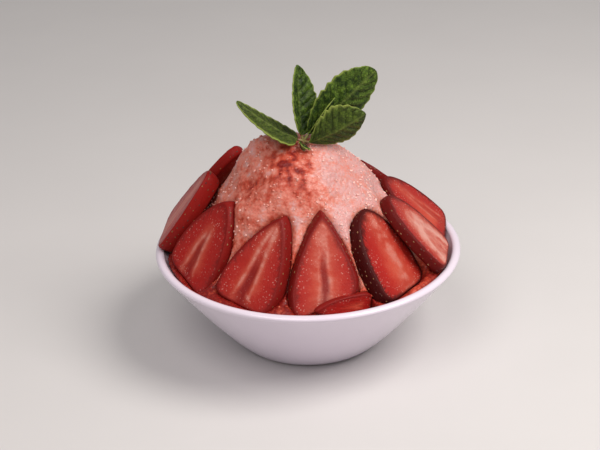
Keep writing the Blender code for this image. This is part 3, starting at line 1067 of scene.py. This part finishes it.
class DESSERT_OT_ice(bpy.types.Operator):
    """Heap the shaved ice and strew loose grains on it"""

    bl_idname = "dessert.ice"
    bl_label = "Shaved ice"

    def execute(self, context):
        ice = context.scene.dessert_ice
        mound = copy_of_node("shaved_ice", "ice_mound")
        apply_modifier(mound, "REMESH", mode="VOXEL", voxel_size=ice.voxel)
        apply_modifier(mound, "SMOOTH", factor=0.5, iterations=6)
        opens = heap_ice(mound, ice)
        shade_smooth(mound)
        start_fresh()
        bpy.ops.mesh.primitive_ico_sphere_add(subdivisions=2, radius=1)
        crystal = name_piece("ice_crystal")
        matrices, syrup_and_shade_values = loose_grains(mound, ice, opens, np.random.RandomState(3))
        grains = joined_copies("ice_grains", crystal.data, matrices)
        count = len(crystal.data.vertices)
        # Each grain is paler than the spot under it: partly less syrup, partly painted light offsetting
        # its shaded side.
        write_attribute(grains.data, "syrup_and_shade", np.repeat(np.clip(syrup_and_shade_values - 0.2, 0, 1), count))
        bpy.data.objects.remove(crystal)
        shade_smooth(grains)
        packed = syruped_ice(ice, "syruped_ice", ice.pale, 3.5 * MM)
        finish_piece(mound, packed, "strawberry_shaved_ice", "shaved_ice")
        loose = syruped_ice(ice, "loose_ice", ice.frost_and_painted_sparkle, 0.4 * MM)
        finish_piece(grains, loose, "strawberry_shaved_ice")
        return {"FINISHED"}


class DESSERT_OT_juice(bpy.types.Operator):
    """Fill the gap at the rim with juice"""

    bl_idname = "dessert.juice"
    bl_label = "Juice at the rim"

    def execute(self, context):
        bowl = context.scene.dessert_bowl
        ice = context.scene.dessert_ice
        level = ICE_EDGE_HEIGHT + 0.1 * MM
        wall = wall_inside(bowl, level)
        rings = [
            (wall - 4.5 * MM, level - 2.5 * MM),
            (wall - 4.2 * MM, level - 0.5 * MM),
            (wall - 3.2 * MM, level - 0.1 * MM),
            (wall - 1.6 * MM, level),
            (wall - 0.5 * MM, level + 0.15 * MM),
            (wall_inside(bowl, level + 0.5 * MM) + 0.1 * MM, level + 0.5 * MM),
            (wall - 0.5 * MM, level - 2.5 * MM),
        ]
        piece = draw_rings("strawberry_juice", rings, bowl.sides)
        finish_piece(piece, juice_film(ice), "strawberry")
        return {"FINISHED"}


def juice_film(ice):
    # Strawberry juice and melted ice: a thin, dark, glossy red liquid.
    material, tree, shader = new_material("strawberry_juice")
    place = add_node(tree, "ShaderNodeTexCoord").outputs["Object"]
    slush = add_node(
        tree, "ShaderNodeTexNoise", {"Scale": 1 / (4 * MM), "Detail": 3.0}, {"Vector": place}
    ).outputs["Fac"]
    colour = set_ramp(
        add_node(tree, "ShaderNodeValToRGB", None, {0: slush}),
        ((0.35, linear("#4f0c0b")), (0.7, linear("#7a1511"))),
    )
    tree.links.new(colour, shader.inputs["Base Color"])
    shader.inputs["Roughness"].default_value = 0.12
    shader.inputs["IOR"].default_value = 1.35
    return material


# ---- Mint ----


class MintSettings(bpy.types.PropertyGroup):
    thickness: FloatProperty(
        name="Thickness", description="Thickness of a leaf", default=0.45 * MM, unit="LENGTH"
    )
    quilting: FloatProperty(
        name="Quilting", description="How far the blade swells between its veins",
        default=0.7 * MM, unit="LENGTH",
    )
    dark: FloatVectorProperty(
        name="Dark green", description="Colour of the blade", subtype="COLOR", size=4,
        default=linear("#213511"),
    )
    light: FloatVectorProperty(
        name="Light green", description="Colour of the blade's lighter parts", subtype="COLOR",
        size=4, default=linear("#5d7628"),
    )
    vein: FloatVectorProperty(
        name="Veins", description="Colour of the veins", subtype="COLOR", size=4,
        default=linear("#76863f"),
    )
    olive: FloatVectorProperty(
        name="Yellowed", description="Colour of a yellowed blade", subtype="COLOR", size=4,
        default=linear("#454a1b"),
    )
    # Painted shade: the colour laid into the side-vein grooves and the creases between the quilted cells.
    groove_shade: FloatVectorProperty(
        name="Grooves", description="Colour of the sunken side veins", subtype="COLOR", size=4,
        default=linear("#22300f"),
    )
    margin: FloatVectorProperty(
        name="Margin", description="Colour of the toothed edge", subtype="COLOR", size=4,
        default=linear("#93a04c"),
    )
    stalk: FloatVectorProperty(
        name="Stalk", description="Colour of the stalks", subtype="COLOR", size=4,
        default=linear("#7d7440"),
    )


def leaf_half_width(share, leaf):
    """Half the blade's width at this share of its length, with forward-leaning teeth."""
    stalk, tooth_depth = 0.7 * MM, 0.1
    if not 0 < share < 1:
        return stalk
    stretch = math.log(0.5) / math.log(leaf.widest)
    blade = math.sin(math.pi * share**stretch) ** leaf.blunt
    rise = (share * leaf.teeth) % 1
    valley = 1 - rise / 0.68 if rise < 0.68 else (rise - 0.68) / 0.32
    uneven = 0.75 + 0.25 * math.sin(17 * share + leaf.length)
    half = leaf.width * MM / 2 * blade * (1 - tooth_depth * 1.15 * valley * uneven)
    return max(half, stalk)


def leaf_point(leaf, across, share):
    """A point on the blade, folded along its midrib and arched along its length."""
    half = leaf_half_width(share, leaf)
    fold, curl = math.radians(leaf.fold), math.radians(leaf.curl)
    bend = curl * share
    reach = leaf.length * MM / curl
    lift = abs(across) * half * math.sin(fold)
    return Vector(
        (
            across * half * math.cos(fold),
            reach * (math.cos(bend) - 1) + lift * math.cos(bend),
            reach * math.sin(bend) + lift * math.sin(bend),
        )
    )


def leaf_place(leaf):
    return (
        Matrix.Translation(SPRIG + Vector(leaf.root) * MM)
        @ Matrix.Rotation(math.radians(leaf.heading), 4, "Z")
        @ Matrix.Rotation(math.radians(90 - leaf.climb), 4, "X")
        @ Matrix.Rotation(math.radians(leaf.roll), 4, "Z")
    )


def veins_at(leaf, across, share):
    """How near the midrib and the side veins this place of the blade is, 1 on them, and its distance
    off the nearest side vein, as a share of the space between them."""
    side = abs(across)
    midrib = math.exp(-((side * (1.2 - 0.6 * share) / 0.05) ** 2))
    wander = 0.025 * noise.noise(Vector((across * 3, share * 6, leaf.length)))
    along = (share - side * 0.17 - 0.05 * side * side + wander) * leaf.teeth
    off = abs((along + 0.5) % 1 - 0.5)
    return midrib, math.exp(-((off / 0.13) ** 2)) * (1 - 0.3 * side), off


def grow_leaf(leaf, mint, highest=None):
    """A toothed, quilted blade, modelled from a grid. No point of it is above highest."""
    start_fresh()
    bpy.ops.mesh.primitive_grid_add(x_subdivisions=44, y_subdivisions=14 * leaf.teeth, size=2)
    obj = name_piece("leaf_" + leaf.name)
    into_place = leaf_place(leaf)
    placed, midribs, grooves, margins = [], [], [], []
    step, olive = 0.01, OLIVE.get(leaf.name, 0)
    for vertex in obj.data.vertices:
        across, share = vertex.co.x, (vertex.co.y + 1) / 2
        point = leaf_point(leaf, across, share)
        midrib, groove, off = veins_at(leaf, across, share)
        ahead = leaf_point(leaf, across, min(share + step, 1))
        ahead -= leaf_point(leaf, across, max(share - step, 0))
        aside = leaf_point(leaf, min(across + step, 1), share)
        aside -= leaf_point(leaf, max(across - step, -1), share)
        upwards = ahead.cross(aside).normalized()
        inner = (1 - smooth_step(abs(across), 0.8, 1.0)) * min(min(share, 1 - share) / 0.08, 1)
        flat = Vector((point.x, point.z, 0))
        cell = noise.voronoi(flat / (1.9 * MM), distance_metric="DISTANCE", exponent=1.0)[0]
        swell = mint.quilting * (math.sqrt(min(off * 2, 1)) - 0.5) * smooth_step(abs(across), 0.03, 0.2)
        swell += 0.35 * mint.quilting * (cell[1] - cell[0] - 0.3)
        swell += 0.3 * MM * noise.noise(flat / (5 * MM) + Vector((leaf.width, 0, 0)))
        point = into_place @ (point + upwards * swell * inner)
        if highest:
            point.z = min(point.z, highest - mint.thickness)
        placed.append(point)
        midribs.append(midrib)
        grooves.append(groove * inner)
        margins.append(smooth_step(abs(across), 0.9 - 0.2 * olive, 1.0))
    put_places(obj.data, placed)
    write_attribute(obj.data, "midrib", midribs)
    write_attribute(obj.data, "groove", grooves)
    write_attribute(obj.data, "margin", margins)
    write_attribute(obj.data, "olive", [olive] * len(placed))
    apply_modifier(obj, "SOLIDIFY", thickness=mint.thickness, offset=0)
    face_out(obj)
    shade_smooth(obj)
    return obj


def mint_blade(mint):
    # Fresh mint leaf: a matt, dark green blade, quilted into small cells between sunken veins, with a
    # light midrib and a thin, pale, toothed edge. The grooves and the creases round the cells are
    # darkened with painted shade. A little light comes through it.
    material, tree, shader = new_material("mint_leaf")
    midrib = add_node(tree, "ShaderNodeAttribute", {"attribute_name": "midrib"}).outputs["Fac"]
    groove = add_node(tree, "ShaderNodeAttribute", {"attribute_name": "groove"}).outputs["Fac"]
    margin = add_node(tree, "ShaderNodeAttribute", {"attribute_name": "margin"}).outputs["Fac"]
    place = add_node(tree, "ShaderNodeTexCoord").outputs["Object"]
    patch = add_node(
        tree, "ShaderNodeTexNoise", {"Scale": 1 / (3 * MM), "Detail": 4.0, "Roughness": 0.7},
        {"Vector": place},
    ).outputs["Fac"]
    blade = set_ramp(
        add_node(tree, "ShaderNodeValToRGB", None, {0: patch}),
        ((0.4, tuple(mint.dark)), (0.62, tuple(mint.light))),
    )
    olive = add_node(tree, "ShaderNodeAttribute", {"attribute_name": "olive"}).outputs["Fac"]
    blade = add_node(
        tree, "ShaderNodeMix", {"data_type": "RGBA", MIX_B: mint.olive}, {0: olive, MIX_A: blade}
    ).outputs[MIX_RESULT]
    cells = add_node(
        tree, "ShaderNodeTexVoronoi", {"feature": "DISTANCE_TO_EDGE", "Scale": 1 / (1.5 * MM)},
        {"Vector": place},
    ).outputs["Distance"]
    # Painted shade along the creases round the quilted cells, added to the painted shade in the side-vein
    # grooves.
    cell_edge_shade = add_node(
        tree, "ShaderNodeMapRange", {"From Min": 0.0, "From Max": 0.16, "To Min": 0.6, "To Max": 0.0},
        {0: cells},
    ).outputs[0]
    groove_shade = add_node(
        tree, "ShaderNodeMath", {"operation": "MULTIPLY_ADD", "use_clamp": True, 1: 0.5},
        {0: groove, 2: cell_edge_shade},
    ).outputs[0]
    blade = add_node(
        tree, "ShaderNodeMix", {"data_type": "RGBA", MIX_B: mint.groove_shade}, {0: groove_shade, MIX_A: blade}
    ).outputs[MIX_RESULT]
    for share, strength, colour in ((midrib, 0.4, mint.vein), (margin, 0.7, mint.margin)):
        share = add_node(
            tree, "ShaderNodeMath", {"operation": "MULTIPLY", 1: strength}, {0: share}
        ).outputs[0]
        blade = add_node(
            tree, "ShaderNodeMix", {"data_type": "RGBA", MIX_B: colour}, {0: share, MIX_A: blade}
        ).outputs[MIX_RESULT]
    tree.links.new(blade, shader.inputs["Base Color"])
    bump = add_node(
        tree, "ShaderNodeBump", {"Strength": 0.8, "Distance": 0.35 * MM}, {"Height": cells}
    ).outputs[0]
    tree.links.new(bump, shader.inputs["Normal"])
    shader.inputs["Roughness"].default_value = 0.5
    shader.inputs["Specular IOR Level"].default_value = 0.22
    shader.inputs["IOR"].default_value = 1.4
    shader.inputs["Subsurface Weight"].default_value = 0.15
    shader.inputs["Subsurface Radius"].default_value = (0.4, 0.8, 0.15)
    shader.inputs["Subsurface Scale"].default_value = 1 * MM
    return material


def mint_stalk(mint):
    # Mint stem: smooth, four-sided and slightly hairy, green turning red-brown where it is cut.
    material, tree, shader = new_material("mint_stalk")
    place = add_node(tree, "ShaderNodeTexCoord").outputs["Object"]
    patch = add_node(
        tree, "ShaderNodeTexNoise", {"Scale": 1 / (2 * MM), "Detail": 2.0}, {"Vector": place}
    ).outputs["Fac"]
    colour = set_ramp(
        add_node(tree, "ShaderNodeValToRGB", None, {0: patch}),
        ((0.35, linear("#6b3a2a")), (0.6, tuple(mint.stalk)), (0.8, tuple(mint.light))),
    )
    tree.links.new(colour, shader.inputs["Base Color"])
    shader.inputs["Roughness"].default_value = 0.45
    return material


def stalk_between(start, end, thick, thin):
    """A tapered stalk from one point to another."""
    way = end - start
    start_fresh()
    bpy.ops.mesh.primitive_cone_add(
        vertices=12, radius1=thick, radius2=thin, depth=way.length, location=(start + end) / 2,
        rotation=way.to_track_quat("Z", "Y").to_euler(),
    )
    obj = name_piece("stalk")
    apply_modifier(obj, "BEVEL", width=thin * 0.5, segments=2, limit_method="ANGLE")
    apply_place(obj)
    return obj


class DESSERT_OT_mint(bpy.types.Operator):
    """Grow the sprig of mint"""

    bl_idname = "dessert.mint"
    bl_label = "Mint sprig"

    def execute(self, context):
        mint = context.scene.dessert_mint
        blade = mint_blade(mint)
        for leaf in LEAVES:
            node = "mint_leaf_" + leaf.name
            finish_piece(grow_leaf(leaf, mint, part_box(node)[1].z), blade, "mint", node)
        bud = Leaf("bud", (-1.6, -1.7, 2.6), 60, -38, 150, 5.5, 3.4, 20, 20, 3, 0.5, 0.6)
        finish_piece(grow_leaf(bud, mint), blade, "mint")
        crown = SPRIG + Vector((0, 0.2, 2.3)) * MM
        planted = SPRIG + Vector((0, -0.5, -6)) * MM
        stalks = [stalk_between(planted, crown, 1.15 * MM, 1.05 * MM)]
        for leaf in LEAVES:
            root = SPRIG + Vector(leaf.root) * MM
            stalks.append(stalk_between(crown - Vector((0, 0, 0.4 * MM)), root, 0.8 * MM, 0.5 * MM))
        start_fresh()
        for stalk in stalks:
            stalk.select_set(True)
        bpy.context.view_layer.objects.active = stalks[0]
        bpy.ops.object.join()
        piece = name_piece("mint_stalks")
        shade_smooth(piece, 50)
        finish_piece(piece, mint_stalk(mint), "mint", "mint_stem")
        return {"FINISHED"}


# ---- Stage ----


class StageSettings(bpy.types.PropertyGroup):
    floor: FloatVectorProperty(
        name="Floor", description="Colour of the floor", subtype="COLOR", size=4,
        default=linear("#d2d0d0"),
    )
    distance: FloatProperty(
        name="Camera distance", description="From the camera to the rim", default=0.70, unit="LENGTH"
    )
    elevation: FloatProperty(
        name="Camera elevation", description="Angle of the view above level",
        default=math.radians(26.5), subtype="ANGLE",
    )
    roll: FloatProperty(
        name="Camera roll", description="Tilt of the camera about its view",
        default=math.radians(1.3), subtype="ANGLE",
    )


def place_camera(stage):
    """A long lens, level with the view of someone sitting at the table."""
    sensor, view_width = 36.0, 600 / 152 * RIM_RADIUS
    forward = Vector((0, math.cos(stage.elevation), -math.sin(stage.elevation)))
    level_up = Vector((0, math.sin(stage.elevation), math.cos(stage.elevation)))
    level_right = Vector((1, 0, 0))
    turn, tilt = math.cos(stage.roll), math.sin(stage.roll)
    right = level_right * turn - level_up * tilt
    up = level_right * tilt + level_up * turn
    target = Vector((0, 0, BOWL_HEIGHT)) - right * 3.4 * MM + up * 7.7 * MM
    camera = bpy.data.cameras.new("camera")
    camera.sensor_width = sensor
    camera.lens = sensor * stage.distance / view_width
    camera.clip_start = 10 * MM
    camera.dof.use_dof = False
    obj = bpy.data.objects.new("camera", camera)
    obj.matrix_world = Matrix((right, up, -forward)).transposed().to_4x4()
    obj.location = target - forward * stage.distance
    bpy.context.scene.collection.objects.link(obj)
    bpy.context.scene.camera = obj


def add_area_light(name, place, size, power, colour):
    light = bpy.data.lights.new(name, "AREA")
    light.shape = "DISK"
    light.size = size
    light.energy = power
    light.color = linear(colour)[:3]
    obj = bpy.data.objects.new(name, light)
    obj.location = place
    obj.rotation_euler = (Vector((0, 0, 0.06)) - Vector(place)).to_track_quat("-Z", "Y").to_euler()
    bpy.context.scene.collection.objects.link(obj)


def matt_floor(stage):
    # Painted board: an even, matt, pale grey.
    material, tree, shader = new_material("pale_board")
    place = add_node(tree, "ShaderNodeTexCoord").outputs["Object"]
    grain = add_node(
        tree, "ShaderNodeTexNoise", {"Scale": 1 / (60 * MM), "Detail": 2.0}, {"Vector": place}
    ).outputs["Fac"]
    colour = set_ramp(
        add_node(tree, "ShaderNodeValToRGB", None, {0: grain}),
        ((0.3, tuple(c * 0.98 for c in stage.floor[:3]) + (1,)), (0.7, tuple(stage.floor))),
    )
    tree.links.new(colour, shader.inputs["Base Color"])
    shader.inputs["Roughness"].default_value = 0.75
    return material


class DESSERT_OT_stage(bpy.types.Operator):
    """Set the floor, lights and camera"""

    bl_idname = "dessert.stage"
    bl_label = "Stage"

    def execute(self, context):
        stage = context.scene.dessert_stage
        start_fresh()
        bpy.ops.mesh.primitive_plane_add(size=6, location=(0, 0, 0))
        floor = name_piece("floor")
        floor.data.materials.append(matt_floor(stage))
        add_area_light("key", (0.40, -0.16, 0.62), 0.45, 4.55, "#fff9f3")
        add_area_light("fill", (-0.25, -0.5, 0.8), 0.6, 3.4, "#fff8f4")
        world = bpy.data.worlds.new("soft_room")
        world.use_nodes = True
        sky = world.node_tree.nodes["Background"]
        sky.inputs["Color"].default_value = linear("#f2efee")
        sky.inputs["Strength"].default_value = 0.35
        context.scene.world = world
        context.scene.view_settings.view_transform = "Standard"
        place_camera(stage)
        return {"FINISHED"}


# ---- Add-on ----


class DESSERT_PT_panel(bpy.types.Panel):
    bl_idname = "DESSERT_PT_panel"
    bl_label = "Strawberry shaved ice"
    bl_space_type = "VIEW_3D"
    bl_region_type = "UI"
    bl_category = "Dessert"

    def draw(self, context):
        for operator in OPERATORS:
            self.layout.operator(operator.bl_idname)
        for name in SETTINGS:
            box = self.layout.box()
            settings = getattr(context.scene, name)
            for key in settings.bl_rna.properties.keys():
                if key not in ("rna_type", "name"):
                    box.prop(settings, key)


OPERATORS = (
    DESSERT_OT_bowl,
    DESSERT_OT_slices,
    DESSERT_OT_seeds,
    DESSERT_OT_ice,
    DESSERT_OT_juice,
    DESSERT_OT_mint,
    DESSERT_OT_stage,
)
SETTINGS = {
    "dessert_bowl": BowlSettings,
    "dessert_berries": BerrySettings,
    "dessert_ice": IceSettings,
    "dessert_mint": MintSettings,
    "dessert_stage": StageSettings,
}


def register():
    for cls in (*SETTINGS.values(), *OPERATORS, DESSERT_PT_panel):
        bpy.utils.register_class(cls)
    for name, cls in SETTINGS.items():
        setattr(bpy.types.Scene, name, PointerProperty(type=cls))


def unregister():
    for name in SETTINGS:
        delattr(bpy.types.Scene, name)
    for cls in (DESSERT_PT_panel, *reversed(OPERATORS), *SETTINGS.values()):
        bpy.utils.unregister_class(cls)


def main():
    register()
    bpy.ops.dessert.bowl()
    bpy.ops.dessert.slices()
    bpy.ops.dessert.seeds()
    bpy.ops.dessert.ice()
    bpy.ops.dessert.juice()
    bpy.ops.dessert.mint()
    bpy.ops.dessert.stage()


if __name__ == "__main__":
    main()
